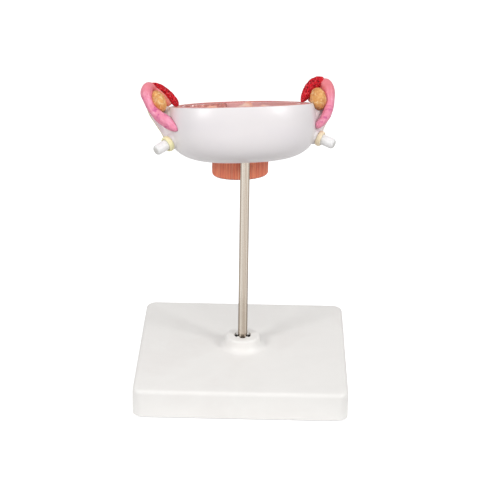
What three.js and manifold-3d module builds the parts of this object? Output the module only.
// A demonstration model of a fetus lying across a womb cut open, on a rod and a square base.
// Millimetres, +Z up. The origin is on the table under the middle of the base, where the rod stands.
// +X is to the right and +Y is away from someone who sees the closed back of the bowl.
import * as THREE from 'three';
import { mergeVertices } from 'three/addons/utils/BufferGeometryUtils.js';
import Module from 'manifold-3d';

const wasm = await Module();
wasm.setup();

// Fits and facets
const CLEARANCE = 0.3;
const MERGE_DISTANCE = 1e-4;
const ROUND_SIDES = 24;
const ARC_STEPS = 4;
const EDGE_BEND = 0.3;

// Base: a moulded shell, open underneath, with a boss for the rod
const BASE_SIDE = 180;
const BASE_TOP = 25.4;
const BASE_CORNER = 9;
const BASE_EDGE = 3.5;
const BASE_WALL = 3;
const BOSS_HEIGHT = 10.6;
const BOSS_HEAD_RADIUS = 15;
const BOSS_FOOT_RADIUS = 17.5;
const BOSS_FLARE = 4;
const BOSS_EDGE = 2;
const POCKET_RADIUS = 8.5;
const POCKET_DEPTH = 8;
const POCKET_RIB = 2.6;
const HUB_RADIUS = 12;
const HUB_BOTTOM = 8;
const HUB_FLOOR = 3;

// Rubber feet, each in a recess under a corner post
const FOOT_RADIUS = 7;
const FOOT_STANDS_OUT = 1.6;
const FOOT_RECESS = 2.2;
const FOOT_EDGE = 0.8;
const FOOT_FROM_EDGE = 18;
const FOOT_SIDES = 16;
const POST_WALL = 2.4;

// Rod, and the screw and washer that hold it from below
const ROD_RADIUS = 4;
const ROD_LENGTH = 192.7;
const ROD_CHAMFER = 0.6;
const SCREW_RADIUS = 2;
const SCREW_REACH = 12;
const SCREW_HEAD_RADIUS = 3.9;
const SCREW_HEAD = 2.4;
const SCREW_HEAD_EDGE = 1;
const SCREW_HOLE_SIDES = 16;
const SCREW_SLOT = 0.9;
const SCREW_SLOT_DEPTH = 1.1;
const WASHER_RADIUS = 6;
const WASHER_THICKNESS = 1;

// Bush on the rod's end, and the socket that the bowl is carried by
const BUSH_WALL = 1.1;
const BUSH_CAP = 1.3;
const SOCKET_WALL = 1.8;
const SOCKET_CAP = 1.8;
const BUSH_REACH = 6.5;

// Bowl: an egg cut across, tilted so that its far rim is lower, and turned on the rod
const BOWL_TURN = 9.5;
const BOWL_TILT = 15.5;
const BOWL_BEHIND_ROD = 23.5;
const ROD_INTO_BOWL = 12;
const CAVITY_HALF_WIDTH = 50;
const CAVITY_NEAR = 34.5;
const CAVITY_FAR = 52;
const CAVITY_DEPTH = 28.8;
const BOWL_WIDEST = -13;
const BOWL_RIM_CURVE = 53;
const BOWL_PLAN_POWER = 2.3;
const BOWL_SIDE_POWER = 3.2;
const BOWL_SEGMENTS = 30;
const BOWL_LOWER_RINGS = 5;
const BOWL_UPPER_RINGS = 2;
const SHELL_WALL = 2.2;
const MUSCLE_WALL = 8;
const FLOOR_WALL = 15.2;
const LINING_WALL = 1.2;
const ABOVE_CUT = 6;

// Placenta, a lens against the cavity wall: how far in from the left and far walls its middle lies, its
// height in the cut frame, its half sizes and the angle it faces
const PLACENTA_IN = [21, 10];
const PLACENTA_HEIGHT = -6;
const PLACENTA_HALF = [28, 12, 24];
const PLACENTA_FACES = 36;

// Vaginal stump below the bowl, an oval tube, with the neck of the womb inside it
const STUMP_HALF_WIDTH = 24;
const STUMP_HALF_DEPTH = 15.5;
const STUMP_WALL = 6.5;
const STUMP_DROP = 15.6;
const STUMP_EDGE = 1.6;
const STUMP_BEHIND_MIDDLE = 3.5;
const STUMP_TALL = 34;
const STUMP_SIDES = 36;
const NECK_HALF = [10.5, 6.2, 12];
const NECK_DROP = 9.5;
const NECK_CANAL = 1.6;
const NECK_CANAL_SIDES = 12;

// Side pieces, in the cut frame, as [out from the bowl's side, away, up]: the two sides differ a little
const SIDES = {
  left: {
    tubePath: [
      [-4.5, -14.4, -17.2],
      [6.5, -9.7, -8.1],
      [14.8, -5.9, 0.6],
      [19, -2.1, 9.3],
      [17.8, 0.6, 14.5],
      [12, 4.1, 17.1],
    ],
    fringePath: [
      [11, 5.4, 16.7],
      [3, 6.3, 13],
      [-2, 5.2, 7.5],
      [-6, 2.8, 3],
    ],
    fringeRadius: 3.4,
    ovaryAt: [7.6, -1.3, 6.7],
  },
  right: {
    tubePath: [
      [-3, -14.2, -18.1],
      [8.6, -8.7, -11.6],
      [13, -3.4, -0.7],
      [14.3, 0.2, 8.7],
      [13.5, 2.7, 14.6],
      [8.5, 5.1, 17.1],
    ],
    fringePath: [
      [7.5, 5.6, 17.1],
      [2.5, 5.9, 16.2],
      [-2, 6.3, 13],
      [-6, 4.7, 7.2],
      [-9, 2.8, 2.9],
    ],
    fringeRadius: 4.2,
    ovaryAt: [3.6, -0.8, 4.8],
  },
};
const TUBE_RADIUS = 4.2;
const TUBE_MOUTH_RADIUS = 4.9;
const TUBE_WIDENS_FROM = 0.45;
const TUBE_ROUND_END = 0.1;
const TUBE_SIDES = 10;
const TUBE_STEPS = 16;
const FRINGE_TIP_RADIUS = 2.6;
const FRINGE_ROUND_END = 0.12;
const FRINGE_STEPS = 20;
const FRINGE_LOBES = 6;
const FRINGE_LOBE_HEIGHT = 0.12;
const OVARY_HALF = [6.8, 11, 9.5];
const LIGAMENT_OUTLINE = [
  [-6, -27.6],
  [0, -29.9],
  [4, -28.2],
  [6, -23],
  [11.6, -13.5],
  [16.8, -4.1],
  [17, 2.8],
  [8, 4],
  [-6, -6.5],
];
const LIGAMENT_THICKNESS = 2.2;
const LIGAMENT_LOW = [-34.6, -11.8];
const LIGAMENT_LEAN = 0.41;
const STRAND_BASE = [-1, -9.3, -28.1];
const STRAND_WAY = [8, -4.1, -3.8];
const STRAND_RADIUS = 4.5;
const STRAND_LENGTH = 17.7;
const STRAND_EDGE = 1.8;
const STRAND_SIDES = 18;
const HORN_RADIUS = 8.6;
const HORN_TIP_RADIUS = 6.4;
const HORN_REACH = 2;
const COLLAR_RADIUS = 6.3;
const COLLAR_LIP_RADIUS = 5.5;
const COLLAR_LENGTH = 5;
const COLLAR_STRAIGHT = 3;

// Fetus: x across, y away, z up from the cavity's floor, square to the cut face
const FETUS_ROOM = 5.5;
const FETUS_BALLS = [
  { at: [-27, 1, 14.8], half: [16.2, 18, 13.4] },
  { at: [-20.5, 13, 14.8], half: [10, 9, 9.2] },
  { at: [3, -9, 13.2], half: [16, 13.5, 12] },
  { at: [18, -6, 13.4], half: [16, 14.5, 12.4] },
  { at: [32, -1, 13.2], half: [12.5, 12.5, 11.4] },
];
const FETUS_LIMBS = [
  { from: [-13, -3, 14.2], to: [-4, -7, 13.4], radii: [9, 9.5] },
  { from: [-2, -7, 23.2], to: [12, 9, 25.4], radii: [5.4, 4.4] },
  { from: [12, 9, 25.4], to: [-4, 20, 22.3], radii: [4.2, 3.2] },
  { from: [-4, 20, 22.3], to: [-11, 24, 20.3], radii: [3.6, 2.6] },
  { from: [-2, -7, 6.3], to: [9, 9, 5.3], radii: [5, 4.2] },
  { from: [9, 9, 5.3], to: [-5, 18, 6.3], radii: [4, 3.2] },
  { from: [-5, 18, 6.3], to: [-11, 21, 7.8], radii: [3.6, 2.6] },
  { from: [33, 2, 20.3], to: [22, 22, 22.3], radii: [7.4, 5.4] },
  { from: [22, 22, 22.3], to: [37, 27, 19.3], radii: [5, 3.4] },
  { from: [36.4, 26.6, 19.3], to: [41, 17.5, 18.8], radii: [3.4, 2.8] },
  { from: [32, 1, 8.8], to: [19, 19, 6.8], radii: [7, 5] },
  { from: [19, 19, 6.8], to: [32, 23, 8.3], radii: [4.8, 3.4] },
  { from: [32, 23, 8.3], to: [38, 15, 9.3], radii: [3.4, 2.8] },
];
const FETUS_SIDES = 7;
const LIMB_END_STEPS = 2;
const CORD_FROM_BELLY = [
  [13.5, 8.1, 14.8],
  [11.5, 19, 15.6],
];
const CORD_TO_PLACENTA = [
  [43, -12, -6],
  [35, -4, -4],
  [23, -3.5, -2.5],
  [11, -7.5, -2],
];
const CORD_RADIUS = 2.6;
const CORD_SIDES = 8;
const CORD_STEPS = 16;

const MATERIALS = {
  white_base: { color: 0xf3f1ef, roughness: 0.42 },
  black_rubber: { color: 0x26262a, roughness: 0.8 },
  steel: { color: 0xc9c2ba, roughness: 0.25, metalness: 1 },
  brass: { color: 0xb8955a, roughness: 0.35, metalness: 1 },
  nylon: { color: 0x3c3a3a, roughness: 0.55 },
  white_womb: { color: 0xf2ecee, roughness: 0.3 },
  muscle: { color: 0xd98f7f, roughness: 0.5 },
  lining: { color: 0xc9c6d6, roughness: 0.35 },
  placenta: { color: 0xa83a44, roughness: 0.5 },
  stump: { color: 0xd17d65, roughness: 0.55 },
  neck: { color: 0xe3a08c, roughness: 0.45 },
  tube: { color: 0xf09bb9, roughness: 0.4 },
  fringe: { color: 0xc81928, roughness: 0.5 },
  ovary: { color: 0xe1af69, roughness: 0.5 },
  ligament: { color: 0xf0dcae, roughness: 0.5 },
  strand: { color: 0xf4f3f1, roughness: 0.4 },
  skin: { color: 0xeab08f, roughness: 0.45 },
  cord: { color: 0xe6d9cf, roughness: 0.4 },
};

// Joining and cutting

function solidOf(geometry) {
  const bare = geometry.clone();
  bare.deleteAttribute('normal');
  bare.deleteAttribute('uv');
  const merged = mergeVertices(bare, MERGE_DISTANCE);
  const corners = merged.index.array;
  const kept = [];
  for (let i = 0; i < corners.length; i += 3) {
    const [a, b, c] = corners.slice(i, i + 3);
    if (a !== b && b !== c && c !== a) {
      kept.push(a, b, c);
    }
  }
  return new wasm.Manifold(new wasm.Mesh({
    numProp: 3,
    vertProperties: new Float32Array(merged.attributes.position.array),
    triVerts: new Uint32Array(kept),
  }));
}

function geometryOf(solid) {
  const mesh = solid.getMesh();
  const geometry = new THREE.BufferGeometry();
  geometry.setAttribute('position', new THREE.BufferAttribute(new Float32Array(mesh.vertProperties), 3));
  geometry.setIndex(new THREE.BufferAttribute(new Uint32Array(mesh.triVerts), 1));
  geometry.computeVertexNormals();
  return geometry;
}

function join(...geometries) {
  return geometryOf(geometries.map(solidOf).reduce((whole, next) => whole.add(next)));
}

function cut(geometry, ...cutters) {
  return geometryOf(cutters.map(solidOf).reduce((whole, next) => whole.subtract(next), solidOf(geometry)));
}

function common(geometry, other) {
  return geometryOf(solidOf(geometry).intersect(solidOf(other)));
}

// Shapes

function turned(profile, sides = ROUND_SIDES) {
  const points = profile.map(([radius, height]) => new THREE.Vector2(radius, height));
  return new THREE.LatheGeometry(points, sides).rotateX(Math.PI / 2);
}

function cylinder(radius, from, to, sides = ROUND_SIDES) {
  const height = to - from;
  return new THREE.CylinderGeometry(radius, radius, height, sides)
    .rotateX(Math.PI / 2)
    .translate(0, 0, from + height / 2);
}

function ellipsoid(centre, half, across = 20, down = 12) {
  return new THREE.SphereGeometry(1, across, down).scale(...half).translate(...centre);
}

function roundedSquare(side, corner) {
  const half = side / 2;
  const straight = half - corner;
  const shape = new THREE.Shape();
  shape.moveTo(-straight, -half);
  shape.lineTo(straight, -half);
  shape.absarc(straight, -straight, corner, -Math.PI / 2, 0, false);
  shape.lineTo(half, straight);
  shape.absarc(straight, straight, corner, 0, Math.PI / 2, false);
  shape.lineTo(-straight, half);
  shape.absarc(-straight, straight, corner, Math.PI / 2, Math.PI, false);
  shape.lineTo(-half, -straight);
  shape.absarc(-straight, -straight, corner, Math.PI, Math.PI * 1.5, false);
  return shape;
}

function mirrored(geometry) {
  const flipped = geometry.clone().scale(-1, 1, 1);
  const corners = flipped.index.array;
  for (let i = 0; i < corners.length; i += 3) {
    [corners[i], corners[i + 1]] = [corners[i + 1], corners[i]];
  }
  flipped.computeVertexNormals();
  return flipped;
}

function vectors(points) {
  return points.map((point) => new THREE.Vector3(...point));
}

function roundEnd(along, share) {
  const reach = Math.min(along, 1 - along) / share;
  return reach >= 1 ? 1 : Math.sqrt(1 - (1 - Math.max(reach, 0.04)) ** 2);
}

// A round bar along a curve, whose radius follows a function of the share of its length
function bar(curve, radiusAt, sides, steps) {
  const geometry = new THREE.CylinderGeometry(1, 1, 1, sides, steps);
  const frames = curve.computeFrenetFrames(steps, false);
  const place = geometry.attributes.position;
  for (let i = 0; i < place.count; i += 1) {
    const along = place.getY(i) + 0.5;
    const step = Math.round(along * steps);
    const radius = radiusAt(along);
    const point = curve.getPointAt(along)
      .addScaledVector(frames.normals[step], place.getZ(i) * radius)
      .addScaledVector(frames.binormals[step], place.getX(i) * radius);
    place.setXYZ(i, point.x, point.y, point.z);
  }
  return geometry;
}

// A limb: two balls with a cone between them
function limb({ from, to, radii }) {
  const start = new THREE.Vector3(...from);
  const way = new THREE.Vector3(...to).sub(start);
  const length = way.length();
  const [first, last] = radii;
  const profile = [];
  for (let step = 0; step <= LIMB_END_STEPS; step += 1) {
    const angle = (step / LIMB_END_STEPS - 1) * Math.PI / 2;
    profile.push([first * Math.cos(angle), first * Math.sin(angle)]);
  }
  for (let step = 0; step <= LIMB_END_STEPS; step += 1) {
    const angle = (step / LIMB_END_STEPS) * Math.PI / 2;
    profile.push([last * Math.cos(angle), length + last * Math.sin(angle)]);
  }
  profile[0][0] = 0;
  profile[profile.length - 1][0] = 0;
  const turn = new THREE.Quaternion().setFromUnitVectors(new THREE.Vector3(0, 0, 1), way.normalize());
  return turned(profile, FETUS_SIDES).applyQuaternion(turn).translate(...from);
}

// Walls, from the cavity outwards

const wallsRound = SHELL_WALL + MUSCLE_WALL + LINING_WALL + 2 * CLEARANCE;
const bowlHalfWidth = CAVITY_HALF_WIDTH + wallsRound;
const bowlNear = CAVITY_NEAR + wallsRound;
const bowlFar = CAVITY_FAR + wallsRound;
const bowlDepth = CAVITY_DEPTH + LINING_WALL + FLOOR_WALL + SHELL_WALL + 2 * CLEARANCE;
const insetOf = {
  muscle: SHELL_WALL + CLEARANCE,
  cavity: SHELL_WALL + CLEARANCE + MUSCLE_WALL,
  lining: wallsRound - LINING_WALL,
};
const muscleHollowDepth = CAVITY_DEPTH + LINING_WALL + CLEARANCE;

// Heights, from the table up

const bossTop = BASE_TOP + BOSS_HEIGHT;
const rodBottom = HUB_BOTTOM + HUB_FLOOR + CLEARANCE;
const rodTop = rodBottom + ROD_LENGTH;
const bowlBottom = rodTop - ROD_INTO_BOWL;
const stumpBottom = bowlBottom - STUMP_DROP;
const neckBottom = bowlBottom - NECK_DROP;
const stumpBehindRod = BOWL_BEHIND_ROD + STUMP_BEHIND_MIDDLE;

// Frames: the cut frame lies in the cut face, under the group that turns on the rod

const tilt = THREE.MathUtils.degToRad(BOWL_TILT);
const cutFrame = new THREE.Matrix4()
  .makeTranslation(0, BOWL_BEHIND_ROD, bowlBottom + bowlDepth * Math.cos(tilt))
  .multiply(new THREE.Matrix4().makeRotationX(-tilt));

function inCutFrame(geometry) {
  return geometry.applyMatrix4(cutFrame);
}

function atSide(geometry) {
  return inCutFrame(geometry.translate(bowlHalfWidth, 0, 0));
}

// The bowl's outside, or a surface inside it: inset from the sides, with its own depth and top
function egg(inset, depth, top = 0) {
  const sizeAt = (height) => {
    const below = BOWL_WIDEST - height;
    if (below > 0) {
      const share = Math.min(1, below / (depth + BOWL_WIDEST));
      return (1 - share ** BOWL_SIDE_POWER) ** (1 / BOWL_SIDE_POWER);
    }
    return Math.sqrt(1 - (below / BOWL_RIM_CURVE) ** 2);
  };
  const profile = [[0, -depth]];
  for (let ring = BOWL_LOWER_RINGS; ring >= 0; ring -= 1) {
    const angle = (ring / (BOWL_LOWER_RINGS + 1)) * Math.PI / 2;
    const height = BOWL_WIDEST - (depth + BOWL_WIDEST) * Math.sin(angle);
    profile.push([sizeAt(height), height]);
  }
  for (let ring = 1; ring <= BOWL_UPPER_RINGS; ring += 1) {
    const height = BOWL_WIDEST * (1 - ring / BOWL_UPPER_RINGS);
    profile.push([sizeAt(height), height]);
  }
  if (top > 0) {
    profile.push([sizeAt(top), top]);
  }
  profile.push([0, top]);
  const geometry = turned(profile, BOWL_SEGMENTS);
  const place = geometry.attributes.position;
  for (let i = 0; i < place.count; i += 1) {
    const x = place.getX(i);
    const y = place.getY(i);
    const size = Math.max(Math.hypot(x, y), MERGE_DISTANCE);
    const cosine = Math.max(Math.abs(x) / size, MERGE_DISTANCE);
    const sine = Math.abs(y) / size;
    const reach = (cosine ** BOWL_PLAN_POWER + sine ** BOWL_PLAN_POWER) ** (-1 / BOWL_PLAN_POWER);
    const half = y < 0 ? bowlNear : bowlFar;
    place.setXY(i, x * reach * (bowlHalfWidth - inset), y * reach * (half - inset));
  }
  return inCutFrame(geometry);
}

const aroundBowl = (gap) => egg(-gap, bowlDepth + gap, gap);

// Rod, screw and washer, with the heights that they share

const washerTop = HUB_BOTTOM - CLEARANCE;
const washerBottom = washerTop - WASHER_THICKNESS;
const headTop = washerBottom - CLEARANCE;
const headBottom = headTop - SCREW_HEAD;
const screwTop = rodBottom + SCREW_REACH;
const screwHole = SCREW_RADIUS + CLEARANCE;

function rodGeometry() {
  return turned([
    [0, screwTop + CLEARANCE],
    [screwHole, screwTop + CLEARANCE],
    [screwHole, rodBottom],
    [ROD_RADIUS - ROD_CHAMFER, rodBottom],
    [ROD_RADIUS, rodBottom + ROD_CHAMFER],
    [ROD_RADIUS, rodTop - ROD_CHAMFER],
    [ROD_RADIUS - ROD_CHAMFER, rodTop],
    [0, rodTop],
  ]);
}

function screwGeometry() {
  const screw = turned([
    [0, headBottom],
    [SCREW_HEAD_RADIUS - SCREW_HEAD_EDGE, headBottom],
    [SCREW_HEAD_RADIUS, headBottom + SCREW_HEAD_EDGE],
    [SCREW_HEAD_RADIUS, headTop],
    [SCREW_RADIUS, headTop],
    [SCREW_RADIUS, screwTop],
    [0, screwTop],
  ]);
  const slot = new THREE.BoxGeometry(SCREW_HEAD_RADIUS * 3, SCREW_SLOT, SCREW_SLOT_DEPTH * 2)
    .translate(0, 0, headBottom);
  return cut(screw, slot);
}

function washerGeometry() {
  return turned([
    [screwHole, washerBottom],
    [WASHER_RADIUS, washerBottom],
    [WASHER_RADIUS, washerTop],
    [screwHole, washerTop],
    [screwHole, washerBottom],
  ]);
}

// Base

const footPlaces = [-1, 1].flatMap((away) => [-1, 1].map((out) => [
  out * (BASE_SIDE / 2 - FOOT_FROM_EDGE),
  away * (BASE_SIDE / 2 - FOOT_FROM_EDGE),
]));
const recessTop = FOOT_STANDS_OUT + FOOT_RECESS;

function baseBlock() {
  const block = new THREE.ExtrudeGeometry(roundedSquare(BASE_SIDE, BASE_CORNER), {
    depth: BASE_TOP - BASE_EDGE,
    bevelThickness: BASE_EDGE,
    bevelSize: BASE_EDGE,
    bevelOffset: -BASE_EDGE,
    bevelSegments: ARC_STEPS - 1,
    curveSegments: ARC_STEPS,
  });
  const below = new THREE.BoxGeometry(BASE_SIDE * 2, BASE_SIDE * 2, BASE_SIDE)
    .translate(0, 0, FOOT_STANDS_OUT - BASE_SIDE / 2);
  return cut(block, below);
}

function baseHollow() {
  return new THREE.ExtrudeGeometry(roundedSquare(BASE_SIDE - 2 * BASE_WALL, BASE_CORNER - BASE_WALL), {
    depth: BASE_TOP,
    bevelEnabled: false,
    curveSegments: ARC_STEPS,
  }).translate(0, 0, -BASE_WALL);
}

function bossGeometry() {
  const foot = BASE_TOP - BASE_WALL / 2;
  const profile = [[0, foot], [BOSS_FOOT_RADIUS + BOSS_FLARE, foot]];
  for (let step = 0; step <= ARC_STEPS; step += 1) {
    const angle = (step / ARC_STEPS) * Math.PI / 2;
    profile.push([
      BOSS_FOOT_RADIUS + BOSS_FLARE * (1 - Math.sin(angle)),
      BASE_TOP + BOSS_FLARE * (1 - Math.cos(angle)),
    ]);
  }
  for (let step = 0; step < ARC_STEPS; step += 1) {
    const angle = (step / (ARC_STEPS - 1)) * Math.PI / 2;
    profile.push([
      BOSS_HEAD_RADIUS - BOSS_EDGE * (1 - Math.cos(angle)),
      bossTop - BOSS_EDGE * (1 - Math.sin(angle)),
    ]);
  }
  profile.push([0, bossTop]);
  return turned(profile);
}

function bossPocket() {
  const ribs = [0, 1].map((turn) => new THREE.BoxGeometry(POCKET_RADIUS * 3, POCKET_RIB, POCKET_DEPTH * 3)
    .rotateZ(turn * Math.PI / 2)
    .translate(0, 0, bossTop));
  return cut(cylinder(POCKET_RADIUS, bossTop - POCKET_DEPTH, bossTop + POCKET_DEPTH), ...ribs);
}

function baseGeometry() {
  const postTop = BASE_TOP - BASE_WALL / 2;
  const posts = footPlaces.map(([x, y]) => (
    cylinder(FOOT_RADIUS + CLEARANCE + POST_WALL, FOOT_STANDS_OUT, postTop, FOOT_SIDES).translate(x, y, 0)
  ));
  const recesses = footPlaces.map(([x, y]) => (
    cylinder(FOOT_RADIUS + CLEARANCE, 0, recessTop, FOOT_SIDES).translate(x, y, 0)
  ));
  const hub = cylinder(HUB_RADIUS, HUB_BOTTOM, BASE_TOP - BASE_WALL / 2);
  const whole = join(cut(baseBlock(), baseHollow()), bossGeometry(), hub, ...posts);
  return cut(
    whole,
    cylinder(ROD_RADIUS + CLEARANCE, HUB_BOTTOM + HUB_FLOOR, bossTop * 2),
    cylinder(screwHole, 0, bossTop, SCREW_HOLE_SIDES),
    bossPocket(),
    ...recesses,
  );
}

function footGeometry() {
  const top = recessTop - CLEARANCE;
  return turned([
    [0, 0],
    [FOOT_RADIUS - FOOT_EDGE, 0],
    [FOOT_RADIUS, FOOT_EDGE],
    [FOOT_RADIUS, top],
    [0, top],
  ], FOOT_SIDES);
}

// Bush and socket

const bushTop = rodTop + CLEARANCE + BUSH_CAP;
const bushBottom = rodTop - BUSH_REACH;
const bushRadius = ROD_RADIUS + CLEARANCE + BUSH_WALL;
const socketInside = bushRadius + CLEARANCE;
const socketRadius = socketInside + SOCKET_WALL;
const socketInsideTop = bushTop + CLEARANCE;
const socketTop = socketInsideTop + SOCKET_CAP;

function bushGeometry() {
  return turned([
    [0, bushTop - BUSH_CAP],
    [ROD_RADIUS + CLEARANCE, bushTop - BUSH_CAP],
    [ROD_RADIUS + CLEARANCE, bushBottom],
    [bushRadius, bushBottom],
    [bushRadius, bushTop],
    [0, bushTop],
  ]);
}

function socketGeometry() {
  const socket = turned([
    [0, socketInsideTop],
    [socketInside, socketInsideTop],
    [socketInside, stumpBottom],
    [socketRadius, stumpBottom],
    [socketRadius, socketTop],
    [0, socketTop],
  ]);
  return common(socket, aroundBowl(0));
}

const socketHole = () => cylinder(socketRadius + CLEARANCE, stumpBottom, socketTop + CLEARANCE);

// Bowl: white outside, muscle, placenta and lining

function shellGeometry() {
  const outside = join(egg(0, bowlDepth), horn(0), mirrored(horn(0)));
  return cut(outside, egg(SHELL_WALL, bowlDepth - SHELL_WALL, ABOVE_CUT), socketHole());
}

const placentaPlace = [PLACENTA_IN[0] - CAVITY_HALF_WIDTH, CAVITY_FAR - PLACENTA_IN[1], PLACENTA_HEIGHT];

function placentaLens(gap) {
  return inCutFrame(new THREE.SphereGeometry(1, 24, 12)
    .scale(...PLACENTA_HALF.map((half) => half + gap))
    .rotateZ(THREE.MathUtils.degToRad(PLACENTA_FACES))
    .translate(...placentaPlace));
}

function muscleGeometry() {
  const block = egg(insetOf.muscle, bowlDepth - insetOf.muscle);
  return cut(block, egg(insetOf.cavity, muscleHollowDepth, ABOVE_CUT), socketHole());
}

function placentaGeometry() {
  return common(egg(insetOf.lining, CAVITY_DEPTH + LINING_WALL), placentaLens(0));
}

function liningGeometry() {
  const block = egg(insetOf.lining, CAVITY_DEPTH + LINING_WALL);
  return cut(block, egg(wallsRound, CAVITY_DEPTH, ABOVE_CUT), placentaLens(CLEARANCE));
}

// Stump and neck below the bowl

function ovalTube(half, from, to, edge) {
  const [halfWidth, halfDepth] = half;
  const profile = [
    [0, from],
    [1 - edge / halfDepth, from],
    [1 - edge * EDGE_BEND / halfDepth, from + edge * EDGE_BEND],
    [1, from + edge],
    [1, to],
    [0, to],
  ];
  return turned(profile, STUMP_SIDES).scale(halfWidth, halfDepth, 1).translate(0, stumpBehindRod, 0);
}

function stumpGeometry() {
  const top = stumpBottom + STUMP_TALL;
  const outside = ovalTube([STUMP_HALF_WIDTH, STUMP_HALF_DEPTH], stumpBottom, top, STUMP_EDGE);
  const hollow = new THREE.CylinderGeometry(1, 1, STUMP_TALL * 3, STUMP_SIDES)
    .rotateX(Math.PI / 2)
    .scale(STUMP_HALF_WIDTH - STUMP_WALL, STUMP_HALF_DEPTH - STUMP_WALL, 1)
    .translate(0, stumpBehindRod, stumpBottom);
  return cut(outside, hollow, aroundBowl(CLEARANCE));
}

function neckGeometry() {
  const neck = ellipsoid([0, stumpBehindRod, neckBottom + NECK_HALF[2]], NECK_HALF);
  const canal = cylinder(NECK_CANAL, stumpBottom, neckBottom + NECK_HALF[2] / 2, NECK_CANAL_SIDES)
    .translate(0, stumpBehindRod, 0);
  return cut(neck, canal, aroundBowl(CLEARANCE));
}

// Side pieces, made for the right and mirrored for the left: each is drawn from the bowl's side

function tubeRadius(along) {
  const swell = THREE.MathUtils.smoothstep(along, TUBE_WIDENS_FROM, 1);
  return THREE.MathUtils.lerp(TUBE_RADIUS, TUBE_MOUTH_RADIUS, swell);
}

function tubeBar({ tubePath }, gap) {
  const curve = new THREE.CatmullRomCurve3(vectors(tubePath));
  const radiusAt = (along) => tubeRadius(along) * roundEnd(along, TUBE_ROUND_END) + gap;
  return atSide(bar(curve, radiusAt, TUBE_SIDES, TUBE_STEPS));
}

function fringeBar({ fringePath, fringeRadius }, gap) {
  const curve = new THREE.CatmullRomCurve3(vectors(fringePath));
  const radiusAt = (along) => {
    const body = THREE.MathUtils.lerp(fringeRadius, FRINGE_TIP_RADIUS, along ** 1.5);
    const lobes = 1 + FRINGE_LOBE_HEIGHT * Math.cos(along * FRINGE_LOBES * 2 * Math.PI);
    return body * lobes * roundEnd(along, FRINGE_ROUND_END) + gap;
  };
  return atSide(bar(curve, radiusAt, TUBE_SIDES, FRINGE_STEPS));
}

function ovaryBall({ ovaryAt }, gap) {
  return atSide(ellipsoid(ovaryAt, OVARY_HALF.map((half) => half + gap), 14, 8));
}

function alongStrand(geometry) {
  const way = new THREE.Vector3(...STRAND_WAY).normalize();
  const turn = new THREE.Quaternion().setFromUnitVectors(new THREE.Vector3(0, 0, 1), way);
  return atSide(geometry.applyQuaternion(turn).translate(...STRAND_BASE));
}

function strandBar(gap) {
  const radius = STRAND_RADIUS + gap;
  const length = STRAND_LENGTH + gap;
  return alongStrand(turned([
    [0, HORN_REACH - gap + CLEARANCE],
    [radius, HORN_REACH - gap + CLEARANCE],
    [radius, length - STRAND_EDGE],
    [radius - STRAND_EDGE * EDGE_BEND, length - STRAND_EDGE * EDGE_BEND],
    [radius - STRAND_EDGE, length],
    [0, length],
  ], STRAND_SIDES));
}

// The swelling of the bowl's white wall under the collar
function horn(gap) {
  return alongStrand(turned([
    [0, -HORN_RADIUS],
    [HORN_RADIUS + gap, -HORN_RADIUS],
    [HORN_TIP_RADIUS + gap, HORN_REACH + gap],
    [0, HORN_REACH + gap],
  ], STRAND_SIDES));
}

function collarGeometry() {
  const from = HORN_REACH + CLEARANCE;
  return alongStrand(turned([
    [0, from],
    [COLLAR_RADIUS, from],
    [COLLAR_RADIUS, from + COLLAR_STRAIGHT],
    [COLLAR_LIP_RADIUS, from + COLLAR_LENGTH],
    [0, from + COLLAR_LENGTH],
  ], STRAND_SIDES));
}

function ligamentSheet() {
  const outline = new THREE.Shape();
  outline.moveTo(...LIGAMENT_OUTLINE[0]);
  outline.splineThru(LIGAMENT_OUTLINE.slice(1).map((point) => new THREE.Vector2(...point)));
  outline.closePath();
  const [low, away] = LIGAMENT_LOW;
  const sheet = new THREE.ExtrudeGeometry(outline, {
    depth: LIGAMENT_THICKNESS,
    bevelEnabled: false,
    curveSegments: ARC_STEPS - 1,
  }).translate(0, -low, -LIGAMENT_THICKNESS / 2).rotateX(Math.PI / 2);
  const lean = new THREE.Matrix4().makeShear(0, 0, 0, 0, 0, LIGAMENT_LEAN);
  return atSide(sheet.applyMatrix4(lean).translate(0, away, low));
}

// Each piece is cut by the bowl and by the pieces that were made before it
function sidePieces(side) {
  const bowl = [aroundBowl(CLEARANCE), horn(CLEARANCE)];
  const tube = tubeBar(side, CLEARANCE);
  const fringe = fringeBar(side, CLEARANCE);
  const ovary = ovaryBall(side, CLEARANCE);
  const sheet = join(ligamentSheet(), collarGeometry());
  return {
    uterine_tube: [cut(tubeBar(side, 0), ...bowl), 'tube'],
    fimbriae: [cut(fringeBar(side, 0), ...bowl, tube), 'fringe'],
    ovary: [cut(ovaryBall(side, 0), ...bowl, tube, fringe), 'ovary'],
    broad_ligament: [cut(sheet, ...bowl, tube, fringe, ovary, strandBar(CLEARANCE)), 'ligament'],
    round_ligament: [cut(strandBar(0), ...bowl), 'strand'],
  };
}

// Fetus and cord: the figure lies on the cavity's floor, and fills its width but for the room at its ends

const fetusReach = Math.max(...FETUS_BALLS.map(({ at, half }) => Math.abs(at[0]) + half[0]));
const fetusScale = (CAVITY_HALF_WIDTH - FETUS_ROOM) / fetusReach;

function onCavityFloor(geometry) {
  return inCutFrame(geometry.scale(fetusScale, fetusScale, fetusScale).translate(0, 0, -CAVITY_DEPTH));
}

function fetusGeometry() {
  const balls = FETUS_BALLS.map(({ at, half }) => ellipsoid(at, half, 12, 8));
  const limbs = FETUS_LIMBS.map((piece) => limb(piece));
  return cut(onCavityFloor(join(...balls, ...limbs)), cordBar(CLEARANCE));
}

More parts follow.
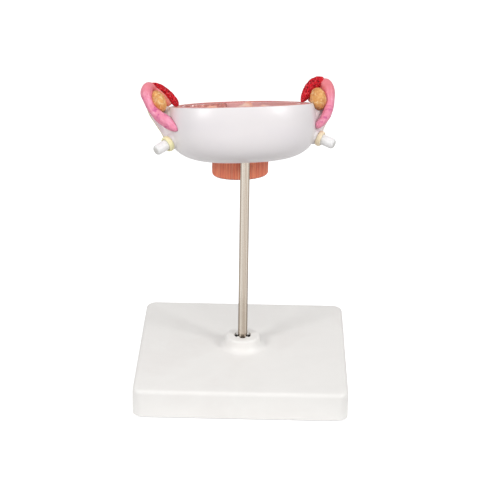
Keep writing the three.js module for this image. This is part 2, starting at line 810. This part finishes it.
function cordBar(gap) {
  const atBelly = vectors(CORD_FROM_BELLY).map((point) => (
    point.multiplyScalar(fetusScale).add(new THREE.Vector3(0, 0, -CAVITY_DEPTH))
  ));
  const atPlacenta = vectors(CORD_TO_PLACENTA).map((point) => point.add(new THREE.Vector3(...placentaPlace)));
  const curve = new THREE.CatmullRomCurve3([...atBelly, ...atPlacenta]);
  return inCutFrame(bar(curve, () => CORD_RADIUS + gap, CORD_SIDES, CORD_STEPS));
}

function cordGeometry() {
  return cut(cordBar(0), placentaLens(CLEARANCE));
}

// The assembly

function piece(name, geometry, materialName) {
  const material = new THREE.MeshStandardMaterial({ metalness: 0, ...MATERIALS[materialName] });
  const mesh = new THREE.Mesh(geometry, material);
  mesh.name = name;
  return mesh;
}

function standGroup() {
  const stand = new THREE.Group();
  stand.add(piece('base_shell', baseGeometry(), 'white_base'));
  const footNames = ['foot_near_left', 'foot_near_right', 'foot_far_left', 'foot_far_right'];
  footNames.forEach((name, i) => {
    const foot = piece(name, footGeometry(), 'black_rubber');
    foot.position.set(...footPlaces[i], 0);
    stand.add(foot);
  });
  stand.add(piece('support_rod', rodGeometry(), 'steel'));
  stand.add(piece('rod_washer', washerGeometry(), 'steel'));
  stand.add(piece('rod_screw', screwGeometry(), 'steel'));
  return stand;
}

function wombGroup() {
  const womb = new THREE.Group();
  womb.rotation.z = THREE.MathUtils.degToRad(BOWL_TURN);
  womb.add(piece('swivel_bush', bushGeometry(), 'nylon'));
  womb.add(piece('rod_socket', socketGeometry(), 'brass'));
  womb.add(piece('uterus_shell', shellGeometry(), 'white_womb'));
  womb.add(piece('uterus_muscle', muscleGeometry(), 'muscle'));
  womb.add(piece('placenta', placentaGeometry(), 'placenta'));
  womb.add(piece('amnion_lining', liningGeometry(), 'lining'));
  womb.add(piece('vaginal_stump', stumpGeometry(), 'stump'));
  womb.add(piece('cervix_neck', neckGeometry(), 'neck'));
  for (const [sideName, side] of Object.entries(SIDES)) {
    for (const [name, [geometry, materialName]] of Object.entries(sidePieces(side))) {
      const placed = sideName === 'left' ? mirrored(geometry) : geometry;
      womb.add(piece(`${sideName}_${name}`, placed, materialName));
    }
  }
  womb.add(piece('fetus', fetusGeometry(), 'skin'));
  womb.add(piece('umbilical_cord', cordGeometry(), 'cord'));
  return womb;
}

const model = new THREE.Group();
model.name = 'fetus_model';
model.add(standGroup());
model.add(wombGroup());

export default model;
